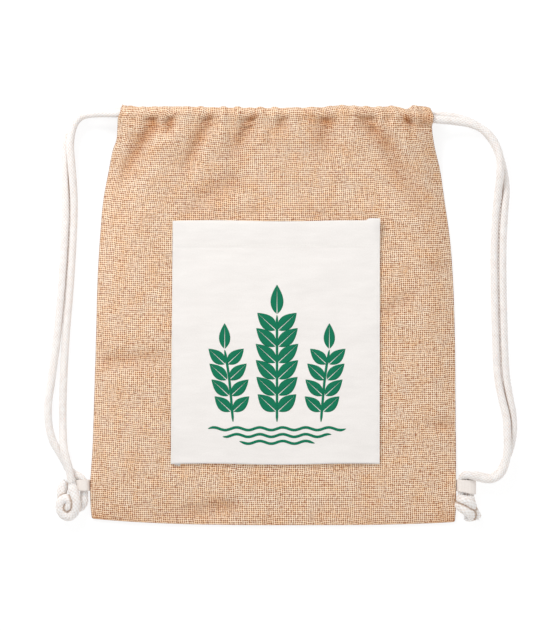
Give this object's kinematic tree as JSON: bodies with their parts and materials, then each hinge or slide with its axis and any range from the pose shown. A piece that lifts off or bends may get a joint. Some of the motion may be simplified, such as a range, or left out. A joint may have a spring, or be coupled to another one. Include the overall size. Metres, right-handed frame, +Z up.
{
  "type": "drawstring backpack",
  "caption": "Flat drawstring backpack of jute cloth with a patch pocket, cords through casings at the mouth, and knotted side loops.",
  "frame": {"origin": "centre of the footprint of the bag and its side loops, on the surface it lies on", "axes": "+X across the bag, +Y up the bag from its bottom seam to its mouth, +Z up from the surface through the front panel"},
  "size_m": [0.4537, 0.4029, 0.0329],
  "materials": {
    "jute": "natural coarse plain weave",
    "canvas": "undyed cotton plain weave",
    "tape": "woven cotton tape",
    "cord": "soft white cotton braid"
  },
  "bodies": {
    "root": {"back_panel": "jute", "front_panel": "jute", "pocket": "canvas", "loop_left": "tape", "loop_right": "tape", "cord_front": "cord", "cord_back": "cord", "knot_left": "cord", "knot_right": "cord"}
  },
  "joints": []
}
